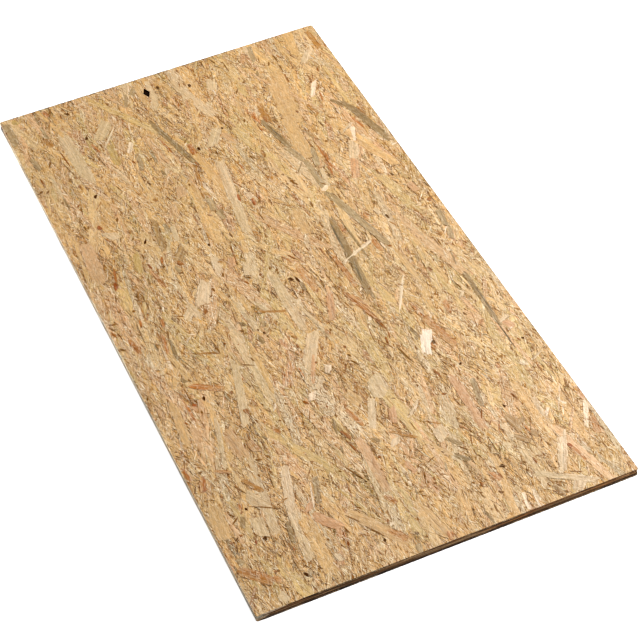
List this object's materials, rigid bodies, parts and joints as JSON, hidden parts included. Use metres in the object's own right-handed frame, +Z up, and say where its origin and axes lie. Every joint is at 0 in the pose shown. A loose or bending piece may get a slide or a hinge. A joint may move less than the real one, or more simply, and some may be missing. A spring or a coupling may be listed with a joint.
{
  "type": "oriented strand board panel",
  "caption": "Flat rectangular panel of oriented strand board, pressed from long wood strands, for cutting, sheathing, shelving and packing.",
  "frame": {"origin": "middle of the back face, which lies on the floor", "axes": "+X along the panel's length, away from the picture's viewer, +Y across its width, +Z up through its thickness"},
  "size_m": [0.8, 0.4, 0.009],
  "materials": {
    "osb": "unsanded pressed wood strands, matt, with darker sawn edges"
  },
  "bodies": {
    "root": {"osb_panel": "osb"}
  },
  "joints": []
}
